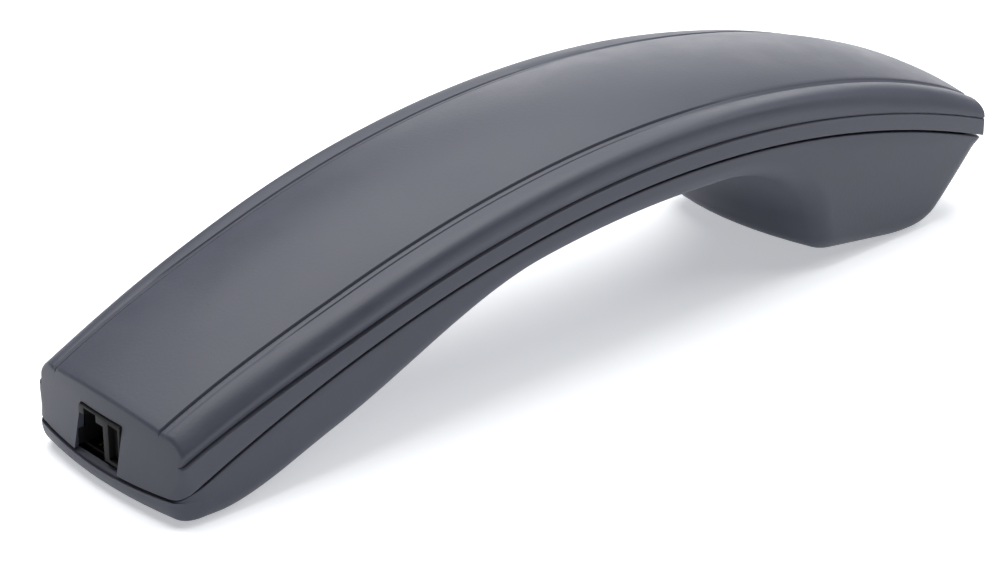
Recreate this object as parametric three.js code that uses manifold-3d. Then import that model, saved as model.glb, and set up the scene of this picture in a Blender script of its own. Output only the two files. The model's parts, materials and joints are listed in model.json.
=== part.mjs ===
// A corded telephone handset, lying on its mouthpiece rim and earpiece with its back cover up.
// Millimetres. +X runs from the jack end to the ear end, +Y across the handle, +Z up.
// The origin is on the resting surface, under the middle of the handset.
import * as THREE from 'three';
import { mergeVertices } from 'three/addons/utils/BufferGeometryUtils.js';
import Module from 'manifold-3d';

const wasm = await Module();
wasm.setup();

// The shells meet on a parting surface that bows up along the handle and is level across it.
const PARTING_CREST_X = 11.4;
const PARTING_CREST_Z = 32.8;
const PARTING_BOW = 0.002188; // drop per square millimetre away from the crest
const PARTING_GAP = 0.3;

// Plan outline: a barrel-sided handle with slightly bowed ends.
const HALF_WIDTH = 23.6;
const WIDEST_X = -9.5;
const JACK_END_X = -100.6; // corner of the jack end; its middle stands JACK_END_BOW further out
const JACK_END_BOW = 2.1;
const JACK_END_LEAN = 0.13; // run per unit of height
const JACK_END_TAPER = 1.7; // how much narrower the half width is at the jack end
const EAR_END_X = 101.6;
const EAR_END_BOW = 1.5;
const EAR_END_TAPER = 1.0;

// Back cover: side band, rounded shoulder, narrow groove and crowned centre panel.
const BAND_HEIGHT = 3.8;
const GROOVE_OUTER_INSET = 5.0;
const GROOVE_INNER_INSET = 6.8;
const GROOVE_OUTER_HEIGHT = 8.8;
const GROOVE_INNER_HEIGHT = 9.15;
const GROOVE_DEPTH = 0.45;
const PANEL_CROWN = 2.3;
const EAR_FALL_START_X = 45;
const EAR_FALL = 0.000135; // share of the shoulder height lost per square millimetre past the start
const BACK_WALL = 1.8;

// Front shell: depths below the parting surface, mouthpiece, scoop and ear cup.
const HANDLE_DEPTH = 5.4;
const MOUTH_DEPTH = 10.9;
const MOUTH_END_X = -70;
const HANDLE_START_X = -20;
const EDGE_RADIUS = 3.4;
const NOSE_FLARE = 0.4;
const NOSE_CORNER = 5;
const MOUTH_LAND_END_X = -94;
const MOUTH_CURVE_X = -87;
const CUP_FRONT_X = 52.3;
const CUP_FRONT_BOW = 5.5;
const SCOOP_LENGTH = 28;
const SCOOP_FOOT_Z = 10;
const CUP_FOOT_Z = 7.6;
const CUP_CORNER = 5;
const EAR_FACE_SLOPE = 0.157;
const EAR_FACE_LEVEL_X = 77.5; // where the plane of the ear face meets the resting surface
const EAR_FACE_EASE = 3.5; // run over which the ear face turns level, each side of that place
const FAR_WALL_SLOPE = 0.95;
const FAR_WALL_BULGE = 0.9;
const FRONT_WALL = 2.4;
const RIM_WALL = 0.9; // tongue of the front shell inside the rim of the back cover
const RIM_DEPTH = 2.2;
const RIM_RISE = 1.4;

// Clearances and small hardware.
const GAP = 0.3;
const SCREW_PLACES = [-52, 14];
const SCREW_SEAT_DEPTH = 3.2; // screw seat below the parting surface
const SCREW_HEAD_RADIUS = 2.5;
const SCREW_SHANK_RADIUS = 1.1;
const BOSS_RADIUS = 3.4;

// Receiver capsule in the ear cup, stacked inward along the normal of the ear face.
const RECEIVER_X = 67;
const RECEIVER_RADIUS = 14;
const EAR_HOLE_RADIUS = 0.95;
const DIAPHRAGM_RADIUS = 12.2;
const COIL_RADIUS = 5.6;

// Microphone capsule in the mouthpiece, stacked inward along the normal of the underside.
const MIC_X = -78;
const MIC_RADIUS = 4.85;
const MIC_HOLE_RADIUS = 0.65;

// Ballast bar in the handle.
const BALLAST_X = -18;
const BALLAST_LENGTH = 40;
const BALLAST_WIDTH = 16;
const BALLAST_HEIGHT = 5;
const BALLAST_SCREW_SPAN = 30;

// Cord jack in the end wall: a four-way socket with its latch slot at the top.
const JACK_Y = 3.0;
const JACK_FACE_X = -100.3;
const JACK_WIDTH = 11.4;
const JACK_LENGTH = 12.3;
const JACK_LOW_Z = 3.2;
const JACK_HIGH_Z = 14.4;
const SOCKET_WIDTH = 7.8;
const SOCKET_HEIGHT = 6.8;
const SOCKET_FLOOR_Z = 5.4;
const LATCH_WIDTH = 3.6;
const LATCH_TOP_Z = 13.9;
const JACK_OPENING_LOW_Y = -5.4;
const JACK_OPENING_HIGH_Y = 7.4;
const JACK_OPENING_TOP_Z = 14.2;
const CONTACT_PITCH = 1.27;
const CONTACT_RADIUS = 0.22;
const LEAD_RADIUS = 0.6;

// Materials: colour, roughness and metalness of each kind of stuff the handset is made of.
const finish = (color, roughness, metalness) => ({ color, roughness, metalness });
const FINISHES = {
  shell: finish(0x494a55, 0.55, 0),
  black: finish(0x1a1a1c, 0.6, 0),
  gold: finish(0xc9a14a, 0.3, 1),
  steel: finish(0x9a9da0, 0.35, 1),
  zinc: finish(0x7f8488, 0.5, 1),
  board: finish(0x245235, 0.6, 0),
  copper: finish(0xb06a3a, 0.35, 1),
  film: finish(0xb9b4a4, 0.4, 0),
  foam: finish(0x202022, 0.95, 0),
  cloth: finish(0x141416, 0.9, 0),
  red: finish(0xa32820, 0.5, 0),
  wireBlack: finish(0x161616, 0.5, 0),
  green: finish(0x2c6a3c, 0.5, 0),
  yellow: finish(0xb49a2c, 0.5, 0),
};

const handset = new THREE.Group();

function addPart(parent, name, geometry, kind) {
  const mesh = new THREE.Mesh(geometry, new THREE.MeshStandardMaterial(FINISHES[kind]));
  mesh.name = name;
  parent.add(mesh);
  return mesh;
}

// ---------------------------------------------------------------- solids

function toManifold(geometry) {
  const bare = geometry.clone();
  bare.deleteAttribute('normal');
  bare.deleteAttribute('uv');
  const merged = mergeVertices(bare, 1e-4);
  const vertProperties = new Float32Array(merged.attributes.position.array);
  const triVerts = new Uint32Array(merged.index.array);
  return new wasm.Manifold(new wasm.Mesh({ numProp: 3, vertProperties, triVerts }));
}

function toGeometry(solid) {
  const mesh = solid.getMesh();
  const geometry = new THREE.BufferGeometry();
  geometry.setAttribute('position', new THREE.BufferAttribute(new Float32Array(mesh.vertProperties), 3));
  geometry.setIndex(new THREE.BufferAttribute(new Uint32Array(mesh.triVerts), 1));
  return geometry;
}

function cut(base, ...tools) {
  let solid = toManifold(base);
  for (const tool of tools) solid = solid.subtract(toManifold(tool));
  return toGeometry(solid);
}

function join(base, ...others) {
  let solid = toManifold(base);
  for (const other of others) solid = solid.add(toManifold(other));
  return toGeometry(solid);
}

function overlap(first, second) {
  return toGeometry(toManifold(first).intersect(toManifold(second)));
}

function box(lowX, highX, lowY, highY, lowZ, highZ) {
  const geometry = new THREE.BoxGeometry(highX - lowX, highY - lowY, highZ - lowZ);
  return geometry.translate((lowX + highX) / 2, (lowY + highY) / 2, (lowZ + highZ) / 2);
}

// A cylinder standing on z = low with its axis at (x, y).
function post(radius, low, high, x = 0, y = 0, sides = 16) {
  const geometry = new THREE.CylinderGeometry(radius, radius, high - low, sides);
  return geometry.rotateX(Math.PI / 2).translate(x, y, (low + high) / 2);
}

// A ring with a rectangular section, turned about Z.
function ring(inner, outer, low, high, sides = 24) {
  const profile = [
    new THREE.Vector2(inner, low),
    new THREE.Vector2(outer, low),
    new THREE.Vector2(outer, high),
    new THREE.Vector2(inner, high),
    new THREE.Vector2(inner, low),
  ];
  return new THREE.LatheGeometry(profile, sides).rotateX(Math.PI / 2);
}

// A body turned about Z from [radius, height] pairs that start and end on the axis.
function turned(pairs, sides = 24) {
  const profile = pairs.map(([radius, height]) => new THREE.Vector2(radius, height));
  return new THREE.LatheGeometry(profile, sides).rotateX(Math.PI / 2);
}

// A wire of round section along a smooth curve through the given points.
function wire(points, radius, steps, sides = 8) {
  const route = new THREE.CatmullRomCurve3(points.map((p) => new THREE.Vector3(...p)));
  const section = new THREE.Shape();
  for (let i = 0; i < sides; i += 1) {
    const angle = (2 * Math.PI * i) / sides;
    const x = radius * Math.cos(angle);
    const y = radius * Math.sin(angle);
    if (i === 0) section.moveTo(x, y);
    else section.lineTo(x, y);
  }
  section.closePath();
  return new THREE.ExtrudeGeometry(section, { steps, extrudePath: route, bevelEnabled: false });
}

// A closed body through side profiles that all have the same number of [x, y, z] points.
// The profiles run from -Y to +Y, and each goes round anticlockwise as seen from -Y.
function loftAcross(profiles) {
  const count = profiles[0].length;
  const positions = profiles.flat(2);
  const triangles = [];
  for (let i = 0; i + 1 < profiles.length; i += 1) {
    for (let k = 0; k < count; k += 1) {
      const a = i * count + k;
      const b = i * count + ((k + 1) % count);
      triangles.push(a, a + count, b, b, a + count, b + count);
    }
  }
  const last = (profiles.length - 1) * count;
  const flat = (profile) => profile.map(([x, , z]) => new THREE.Vector2(x, z));
  for (const [p, q, r] of THREE.ShapeUtils.triangulateShape(flat(profiles[0]), [])) {
    triangles.push(p, q, r);
  }
  for (const [p, q, r] of THREE.ShapeUtils.triangulateShape(flat(profiles.at(-1)), [])) {
    triangles.push(last + p, last + r, last + q);
  }
  const geometry = new THREE.BufferGeometry();
  geometry.setAttribute('position', new THREE.Float32BufferAttribute(positions, 3));
  geometry.setIndex(triangles);
  return geometry;
}

// ---------------------------------------------------------------- shape of the handset

const smoothstep = THREE.MathUtils.smoothstep;
const lerp = THREE.MathUtils.lerp;

function partingZ(x) {
  return PARTING_CREST_Z - PARTING_BOW * (x - PARTING_CREST_X) ** 2;
}

function partingSlope(x) {
  return -2 * PARTING_BOW * (x - PARTING_CREST_X);
}

// The point a given height above the parting surface, square to it, from station x.
function abovePart(x, height) {
  const slope = partingSlope(x);
  const length = Math.hypot(1, slope);
  return [x - (height * slope) / length, partingZ(x) + height / length];
}

function halfWidth(x) {
  const jackSide = x < WIDEST_X;
  const reach = jackSide ? WIDEST_X - JACK_END_X : EAR_END_X - WIDEST_X;
  const taper = jackSide ? JACK_END_TAPER : EAR_END_TAPER;
  return HALF_WIDTH - taper * ((x - WIDEST_X) / reach) ** 2;
}

// How far an end bows out at a place across the handle, given as a share of the half width.
const bowAt = (share) => 1 - share * share;
const jackEnd = (share) => JACK_END_X - JACK_END_BOW * bowAt(share);
const earEnd = (share) => EAR_END_X + EAR_END_BOW * bowAt(share);

// Outer height of the back cover above the parting surface, at y in a section of half width w.
function backHeight(x, y, w) {
  const fall = x > EAR_FALL_START_X ? EAR_FALL * (x - EAR_FALL_START_X) ** 2 : 0;
  const inner = w - GROOVE_INNER_INSET;
  const outer = w - GROOVE_OUTER_INSET;
  let height;
  if (y <= inner) {
    height = GROOVE_INNER_HEIGHT + PANEL_CROWN * bowAt(y / inner);
  } else if (y < outer) {
    height = GROOVE_OUTER_HEIGHT - GROOVE_DEPTH;
  } else {
    const squareness = lerp(1.7, 4, smoothstep(x, JACK_END_X, -30));
    const reach = Math.min(1, (y - outer) / GROOVE_OUTER_INSET);
    height = BAND_HEIGHT + (GROOVE_OUTER_HEIGHT - BAND_HEIGHT) * Math.sqrt(1 - reach ** squareness);
  }
  return BAND_HEIGHT + (height - BAND_HEIGHT) * (1 - fall);
}

// One side profile of the back cover: along the parting surface and back over the top.
// place(w) gives y from the half width, lift is taken off the height for the cavity.
function backProfile(place, { skin = 0, foot = PARTING_GAP / 2, lift = 0, steps = 26 } = {}) {
  const share = Math.abs(place(HALF_WIDTH)) / HALF_WIDTH;
  const side = Math.sign(place(HALF_WIDTH)) || 1;
  const startX = jackEnd(share) + skin;
  const endX = earEnd(share) - skin;
  const low = [];
  const high = [];
  for (let i = 0; i <= steps; i += 1) {
    const x = lerp(startX, endX, i / steps);
    const w = halfWidth(x);
    low.push([x, side * Math.abs(place(w)), partingZ(x) + foot]);
    const edge = smoothstep(x, endX - 9, endX + 9);
    let station = x;
    let topX = x;
    let topZ = 0;
    for (let pass = 0; pass < 6; pass += 1) {
      const y = Math.abs(place(w));
      const height = backHeight(station, y, w) - lift;
      const rolled = height - 0.9 * edge * smoothstep(height, BAND_HEIGHT, GROOVE_OUTER_HEIGHT);
      const lean = JACK_END_LEAN * height * (1 - i / steps);
      [topX, topZ] = abovePart(station, rolled);
      station += x + lean - topX;
    }
    high.push([topX, side * Math.abs(place(w)), topZ]);
  }
  return low.concat(high.reverse());
}

// Places across the back cover, from one side to the other.
function acrossBack(panelShares, shoulderReaches) {
  const half = [];
  for (const reach of shoulderReaches) {
    half.push((w) => w - GROOVE_OUTER_INSET * (1 - reach));
  }
  half.push((w) => w - GROOVE_OUTER_INSET - 0.25);
  half.push((w) => w - GROOVE_INNER_INSET + 0.25);
  for (const part of panelShares) half.push((w) => part * (w - GROOVE_INNER_INSET));
  const mirrored = half.map((place) => (w) => -place(w));
  return [...mirrored, (w) => 0 * w, ...half.reverse()];
}

function backOuter() {
  const places = acrossBack([1, 0.7, 0.35], [1, 0.985, 0.93, 0.8, 0.55, 0.001]);
  return loftAcross(places.map((place) => backProfile(place)));
}

function backCavity() {
  const lift = BACK_WALL + GROOVE_DEPTH;
  const side = { skin: BACK_WALL + 0.3, foot: -1, steps: 16 };
  const wallY = (w) => w - BACK_WALL;
  const profiles = [
    backProfile((w) => -wallY(w), { ...side, lift: -0.4 }),
    backProfile((w) => -(wallY(w) - 1.4), { ...side, lift: 1.6 }),
    backProfile((w) => -(w - GROOVE_INNER_INSET), { ...side, lift }),
    backProfile((w) => 0 * w, { ...side, lift }),
    backProfile((w) => w - GROOVE_INNER_INSET, { ...side, lift }),
    backProfile((w) => wallY(w) - 1.4, { ...side, lift: 1.6 }),
    backProfile((w) => wallY(w), { ...side, lift: -0.4 }),
  ];
  return loftAcross(profiles);
}

// Depth of the front shell below the parting surface along the mouthpiece and the handle.
function frontDepth(x) {
  return lerp(MOUTH_DEPTH, HANDLE_DEPTH, smoothstep(x, MOUTH_END_X, HANDLE_START_X));
}

const earFaceZ = (x) => EAR_FACE_SLOPE * (EAR_FACE_LEVEL_X - x);

// The underside in side view, from the jack end round to the ear end, at a share of the half width.
function undersidePath(share) {
  const nose = jackEnd(share);
  const far = earEnd(share);
  const cup = CUP_FRONT_X - CUP_FRONT_BOW * bowAt(share);
  const path = new THREE.Path();
  path.moveTo(nose, partingZ(nose));
  path.lineTo(nose - NOSE_FLARE, Math.min(partingZ(nose) - 0.3, NOSE_CORNER));
  path.quadraticCurveTo(nose - NOSE_FLARE, 0, nose - NOSE_FLARE + NOSE_CORNER, 0);
  path.lineTo(MOUTH_LAND_END_X, 0);
  const [mouthX, mouthZ] = abovePart(-80, -MOUTH_DEPTH);
  path.quadraticCurveTo(MOUTH_CURVE_X, 0, mouthX, mouthZ);
  const scoopX = cup - SCOOP_LENGTH;
  const points = [];
  for (let i = 0; i <= 9; i += 1) {
    const x = lerp(-68, scoopX, i / 9);
    points.push(new THREE.Vector2(...abovePart(x, -frontDepth(x))));
  }
  path.splineThru(points);
  const scoopTop = points.at(-1);
  const scoopRise = scoopTop.y - SCOOP_FOOT_Z;
  path.absellipse(scoopTop.x, SCOOP_FOOT_Z, cup - scoopTop.x, scoopRise, Math.PI / 2, 0, true);
  path.lineTo(cup + 0.5, CUP_FOOT_Z);
  const heel = cup + 1;
  path.quadraticCurveTo(heel, earFaceZ(heel), heel + CUP_CORNER, earFaceZ(heel + CUP_CORNER));
  const easeX = EAR_FACE_LEVEL_X - EAR_FACE_EASE;
  path.lineTo(easeX, earFaceZ(easeX));
  const levelX = EAR_FACE_LEVEL_X + EAR_FACE_EASE;
  path.quadraticCurveTo(EAR_FACE_LEVEL_X, 0, levelX, 0);
  const farZ = partingZ(far);
  const meet = far - farZ / FAR_WALL_SLOPE;
  const turnX = meet + 0.6 * (meet - levelX);
  const turnZ = FAR_WALL_SLOPE * (turnX - meet);
  path.quadraticCurveTo(meet + 0.5 * FAR_WALL_BULGE, 0, turnX + FAR_WALL_BULGE / 2, turnZ);
  path.quadraticCurveTo((turnX + far) / 2 + FAR_WALL_BULGE, (turnZ + farZ) / 2, far, farZ);
  return path;
}

// Steps along each stretch of the underside, in the order that undersidePath draws them.
const FINE_STEPS = [1, 5, 1, 5, 14, 8, 1, 5, 2, 3, 6, 3];
const COARSE_STEPS = [1, 3, 1, 3, 9, 6, 1, 3, 2, 2, 4, 2];

// Points of the underside moved in square to the outline, mitred where two stretches meet.
function insetUnderside(share, inset, stepsEach) {
  const curves = undersidePath(share).curves;
  const points = [];
  curves.forEach((curve, which) => {
    for (let k = 0; k < stepsEach[which]; k += 1) {
      const tangent = curve.getTangent(k / stepsEach[which]);
      let mitre = 1;
      if (k === 0 && which > 0) {
        const before = curves[which - 1].getTangent(1);
        mitre = 1 / Math.sqrt((1 + before.dot(tangent)) / 2);
        tangent.add(before).normalize();
      }
      const point = curve.getPoint(k / stepsEach[which]);
      points.push([point.x - inset * mitre * tangent.y, point.y + inset * mitre * tangent.x]);
    }
  });
  const point = curves.at(-1).getPoint(1);
  const tangent = curves.at(-1).getTangent(1);
  points.push([point.x - inset * tangent.y, point.y + inset * tangent.x]);
  return points;
}

// One side profile of the front shell. inset moves the underside in, square to itself.
function frontProfile(place, inset, { top = -PARTING_GAP / 2, stepsEach = FINE_STEPS, topSteps = 20 } = {}) {
  const share = Math.abs(place(HALF_WIDTH)) / HALF_WIDTH;
  const side = Math.sign(place(HALF_WIDTH)) || 1;
  const outline = insetUnderside(share, inset, stepsEach);
  outline[0][1] = partingZ(outline[0][0]) + top;
  outline.at(-1)[1] = partingZ(outline.at(-1)[0]) + top;
  const startX = outline[0][0];
  const endX = outline.at(-1)[0];
  for (let i = topSteps - 1; i > 0; i -= 1) {
    const x = lerp(startX, endX, i / topSteps);
    outline.push([x, partingZ(x) + top]);
  }
  return outline.map(([x, z]) => [x, side * Math.abs(place(halfWidth(x))), z]);
}

// The front shell's body, or its cavity when skin is the wall thickness.
function frontBody({ skin = 0, angles = [90, 67, 45, 22], shares = [1, 0.5, 0], ...options } = {}) {
  const half = [];
  const radius = EDGE_RADIUS - skin;
  for (const degrees of angles) {
    const angle = THREE.MathUtils.degToRad(degrees);
    const place = (w) => w - EDGE_RADIUS + radius * Math.sin(angle);
    half.push({ place, inset: skin + radius * (1 - Math.cos(angle)) });
  }
  for (const part of shares) half.push({ place: (w) => part * (w - EDGE_RADIUS), inset: skin });
  const mirrored = half.map(({ place, inset }) => ({ place: (w) => -place(w), inset }));
  const row = mirrored.concat(half.slice(0, -1).reverse());
  return loftAcross(row.map(({ place, inset }) => frontProfile(place, inset, options)));
}

// A slab between two heights above the parting surface, inset from the outline of the rim.
function rimSlab(inset, low, high) {
  const endInset = inset + 0.2;
  const steps = 12;
  const profile = (share) => {
    const line = [];
    for (let i = 0; i <= steps; i += 1) {
      line.push(lerp(jackEnd(share) + endInset, earEnd(share) - endInset, i / steps));
    }
    const level = (height) => (x) => [x, share * (halfWidth(x) - inset), partingZ(x) + height];
    return line.map(level(low)).concat(line.reverse().map(level(high)));
  };
  return loftAcross([-1, -0.5, 0, 0.5, 1].map(profile));
}

// Turns and moves a geometry from a stack's own frame (+Z inward) to its place in the handset.
function placed(geometry, frame) {
  return geometry.applyMatrix4(new THREE.Matrix4().makeRotationY(frame.turn).setPosition(...frame.origin));
}

const receiverFrame = {
  origin: [RECEIVER_X, 0, earFaceZ(RECEIVER_X)],
  turn: Math.atan(EAR_FACE_SLOPE),
};
const [micX, micZ] = abovePart(MIC_X, -frontDepth(MIC_X));
const micFrame = { origin: [micX, 0, micZ], turn: -Math.atan(partingSlope(MIC_X)) };
const ballastFrame = {
  origin: [BALLAST_X, 0, partingZ(BALLAST_X)],
  turn: -Math.atan(partingSlope(BALLAST_X)),
};

function stackGroup(frame) {
  const group = new THREE.Group();
  group.position.set(...frame.origin);
  group.rotation.y = frame.turn;
  handset.add(group);
  return group;
}

// ---------------------------------------------------------------- shells

function jackOpening() {
  const low = JACK_OPENING_LOW_Y;
  const high = JACK_OPENING_HIGH_Y;
  return box(-110, -96, low, high, -2, JACK_OPENING_TOP_Z);
}

// Room behind the end wall that lets the jack sit close to the face.
function jackPocket() {
  const reach = JACK_WIDTH / 2 + GAP;
  const top = JACK_HIGH_Z + GAP;
  return box(JACK_FACE_X - GAP, -96, JACK_Y - reach, JACK_Y + reach, JACK_LOW_Z - GAP, top);
}

function backShell() {
  let shell = cut(backOuter(), backCavity());
  for (const x of SCREW_PLACES) {
    const foot = partingZ(x) - GAP;
    shell = join(shell, post(BOSS_RADIUS, foot, partingZ(x) + 10.2, x));
    shell = cut(shell, post(SCREW_SHANK_RADIUS + GAP, foot - 1, partingZ(x) + 6, x, 0, 12));
  }
  return cut(shell, jackOpening(), jackPocket());
}

// Places on circles about a stack's axis, for sound holes.
function holePlaces(rings) {
  const places = [[0, 0]];
  for (const [radius, count] of rings) {
    for (let i = 0; i < count; i += 1) {
      const angle = (2 * Math.PI * i) / count;
      places.push([radius * Math.cos(angle), radius * Math.sin(angle)]);
    }
  }
  return places;
}

const earHoles = holePlaces([[4, 6], [8, 12]]);
const micHoles = holePlaces([[2.4, 4]]);

function frontShell() {
  const cavity = frontBody({ skin: FRONT_WALL, angles: [90, 40], top: 1, stepsEach: COARSE_STEPS, topSteps: 14 });
  const rimInset = BACK_WALL + GAP;
  const jackStretch = box(-110, JACK_FACE_X + 5, -30, 30, -5, 30);
  const core = rimSlab(rimInset + RIM_WALL, -4, 4);
  const tongue = cut(rimSlab(rimInset, -RIM_DEPTH, RIM_RISE), core, jackStretch);
  let shell = join(cut(frontBody(), cavity), tongue);
  const receiverWall = ring(RECEIVER_RADIUS + GAP, RECEIVER_RADIUS + 1.3, 1.6, 6);
  const micWall = ring(MIC_RADIUS + 1.7, MIC_RADIUS + 2.6, 1.6, 5);
  shell = join(shell, placed(receiverWall, receiverFrame), placed(micWall, micFrame));
  for (const side of [-1, 1]) {
    const x = (side * BALLAST_SCREW_SPAN) / 2;
    const pillar = placed(post(BOSS_RADIUS, -4.4, -BALLAST_HEIGHT / 2 + 1, x), ballastFrame);
    const pilot = placed(post(1.2, -4.2, 2, x, 0, 12), ballastFrame);
    shell = cut(join(shell, pillar), pilot);
  }
  for (const x of SCREW_PLACES) {
    const seat = partingZ(x) - SCREW_SEAT_DEPTH;
    const column = post(BOSS_RADIUS + 0.8, seat - 12, partingZ(x) - 2 * GAP, x);
    shell = join(shell, overlap(column, frontBody()));
    shell = cut(shell, post(SCREW_HEAD_RADIUS + GAP, seat - 14, seat, x));
    shell = cut(shell, post(SCREW_SHANK_RADIUS + GAP, seat - 1, seat + 4, x, 0, 12));
  }
  const holes = earHoles.map(([x, y]) => placed(post(EAR_HOLE_RADIUS, -1, 3, x, y, 6), receiverFrame));
  holes.push(...micHoles.map(([x, y]) => placed(post(MIC_HOLE_RADIUS, -1, 3, x, y, 6), micFrame)));
  const jackRoom = box(-101.4, -86, JACK_Y - 6.6, JACK_Y + 6.6, JACK_LOW_Z - GAP, 12);
  return cut(shell, ...holes, jackRoom);
}

addPart(handset, 'back_shell', backShell(), 'shell');
addPart(handset, 'front_shell', frontShell(), 'shell');

// ---------------------------------------------------------------- screws of the shells

SCREW_PLACES.forEach((x, i) => {
  const seat = partingZ(x) - SCREW_SEAT_DEPTH;
  const head = seat - GAP;
  const tip = partingZ(x) + 5;
  const screw = turned([
    [0, head - 2],
    [SCREW_HEAD_RADIUS * 0.8, head - 2],
    [SCREW_HEAD_RADIUS, head - 1.5],
    [SCREW_HEAD_RADIUS, head],
    [SCREW_SHANK_RADIUS, head],
    [SCREW_SHANK_RADIUS, tip - 1],
    [0.3, tip],
    [0, tip],
  ], 16);
  addPart(handset, `shell_screw_${i + 1}`, screw.translate(x, 0, 0), 'steel');
});

// ---------------------------------------------------------------- receiver capsule

const receiver = stackGroup(receiverFrame);
const capFront = 5.3;
const capTop = 9.6;
const capPlate = turned([[0, capFront], [RECEIVER_RADIUS, capFront], [RECEIVER_RADIUS, capTop],
  [RECEIVER_RADIUS - 1, capTop], [RECEIVER_RADIUS - 1, capFront + 1], [0, capFront + 1]]);
const capHoles = earHoles.map(([x, y]) => post(0.8, capFront - 1, capFront + 2, x, y, 6));
addPart(receiver, 'ear_cloth', post(9.5, FRONT_WALL + 0.35, FRONT_WALL + 0.7, 0, 0, 20), 'cloth');
addPart(receiver, 'receiver_gasket', ring(10, 12.4, FRONT_WALL + 0.9, 5), 'foam');
addPart(receiver, 'receiver_cap', cut(capPlate, ...capHoles), 'black');

// The diaphragm is a thin dome with a flat surround, and the voice coil hangs behind it.
const film = 0.35;
const surroundZ = 7.9;
const domeRise = 0.9;
addPart(receiver, 'receiver_diaphragm', turned([
  [0, surroundZ - domeRise],
  [2.4, surroundZ - 0.85 * domeRise],
  [4.6, surroundZ - 0.45 * domeRise],
  [6.2, surroundZ],
  [DIAPHRAGM_RADIUS, surroundZ],
  [DIAPHRAGM_RADIUS, surroundZ + film],
  [6.2, surroundZ + film],
  [4.6, surroundZ + film - 0.45 * domeRise],
  [2.4, surroundZ + film - 0.85 * domeRise],
  [0, surroundZ + film - domeRise],
]), 'film');
addPart(receiver, 'receiver_voice_coil', ring(COIL_RADIUS - 0.8, COIL_RADIUS, 8.6, 12), 'copper');
addPart(receiver, 'receiver_pole_plate', post(COIL_RADIUS - 1.3, 9.3, 10.8, 0, 0, 24), 'steel');
addPart(receiver, 'receiver_magnet', post(COIL_RADIUS - 1.7, 11.1, 14.1, 0, 0, 24), 'zinc');
addPart(receiver, 'receiver_yoke', turned([[0, 14.4], [6.3, 14.4], [6.3, 10], [9.3, 10], [9.3, 16.4], [0, 16.4]]), 'steel');
addPart(receiver, 'receiver_basket', turned([[9.6, 9.9], [13.8, 9.9], [13.8, 11.2], [11, 11.2], [11, 15.4],
  [9.6, 15.4], [9.6, 9.9]]), 'black');
addPart(receiver, 'receiver_terminal_board', box(-4, 4, -5, 5, 16.7, 17.7), 'board');

// ---------------------------------------------------------------- microphone capsule

const mic = stackGroup(micFrame);
addPart(mic, 'mic_cloth', post(4.2, FRONT_WALL + 0.35, FRONT_WALL + 0.65, 0, 0, 16), 'cloth');
addPart(mic, 'mic_boot', turned([[2, 3.35], [6.2, 3.35], [6.2, 8.4], [MIC_RADIUS + GAP, 8.4],
  [MIC_RADIUS + GAP, 4.1], [2, 4.1], [2, 3.35]]), 'foam');
addPart(mic, 'mic_can', cut(post(MIC_RADIUS, 4.4, 9.2, 0, 0, 20), post(1, 3, 5.4, 0, 0, 10)), 'zinc');
addPart(mic, 'mic_board', post(4.4, 9.5, 10.5, 0, 0, 20), 'board');

// ---------------------------------------------------------------- ballast

const ballast = stackGroup(ballastFrame);
const ballastLow = -BALLAST_HEIGHT / 2 + 1 + GAP;
const ballastHigh = ballastLow + BALLAST_HEIGHT;
const ballastEnds = [-1, 1].map((side) => (side * BALLAST_SCREW_SPAN) / 2);
const halfBar = BALLAST_LENGTH / 2;
const halfBarWidth = BALLAST_WIDTH / 2;
const bar = box(-halfBar, halfBar, -halfBarWidth, halfBarWidth, ballastLow, ballastHigh);
const barHoles = ballastEnds.map((x) => post(1.5, ballastLow - 1, ballastHigh + 1, x, 0, 16));
addPart(ballast, 'ballast_bar', cut(bar, ...barHoles), 'zinc');
ballastEnds.forEach((x, i) => {
  const seat = ballastHigh + GAP;
  const screw = turned([[0, -3.2], [0.9, -2.8], [0.9, seat], [2.6, seat], [2.6, seat + 1.2], [1.8, seat + 1.8],
    [0, seat + 1.8]], 16);
  addPart(ballast, `ballast_screw_${i + 1}`, screw.translate(x, 0, 0), 'steel');
});

// ---------------------------------------------------------------- cord jack

const jackBackX = JACK_FACE_X + JACK_LENGTH;
const contactYs = [0, 1, 2, 3].map((i) => JACK_Y + (i - 1.5) * CONTACT_PITCH);
const recessFloorZ = SOCKET_FLOOR_Z - 0.9;
const pinZ = JACK_LOW_Z + 0.45;
const bendX = JACK_FACE_X + 1.2;

function jackHousing() {
  const halfSocket = SOCKET_WIDTH / 2;
  const socketTop = SOCKET_FLOOR_Z + SOCKET_HEIGHT;
  const low = JACK_Y - JACK_WIDTH / 2;
  const high = JACK_Y + JACK_WIDTH / 2;
  const block = box(JACK_FACE_X, jackBackX, low, high, JACK_LOW_Z, JACK_HIGH_Z);
  const socket = box(JACK_FACE_X - 1, jackBackX - 1.2, JACK_Y - halfSocket, JACK_Y + halfSocket,
    SOCKET_FLOOR_Z, socketTop);
  const latch = box(JACK_FACE_X - 1, JACK_FACE_X + 7, JACK_Y - LATCH_WIDTH / 2, JACK_Y + LATCH_WIDTH / 2,
    socketTop - 1, LATCH_TOP_Z);
  const recess = box(bendX - 0.6, JACK_FACE_X + 9.8, JACK_Y - 2.6, JACK_Y + 2.6, recessFloorZ, SOCKET_FLOOR_Z + 1);
  const tools = [socket, latch, recess];
  for (const y of contactYs) {
    tools.push(box(bendX - 0.7, jackBackX + 1, y - 0.46, y + 0.46, JACK_LOW_Z - 1, JACK_LOW_Z + 1));
    tools.push(box(bendX - 0.6, bendX + 0.7, y - 0.46, y + 0.46, JACK_LOW_Z, recessFloorZ + 0.5));
  }
  return cut(block, ...tools);
}

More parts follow.
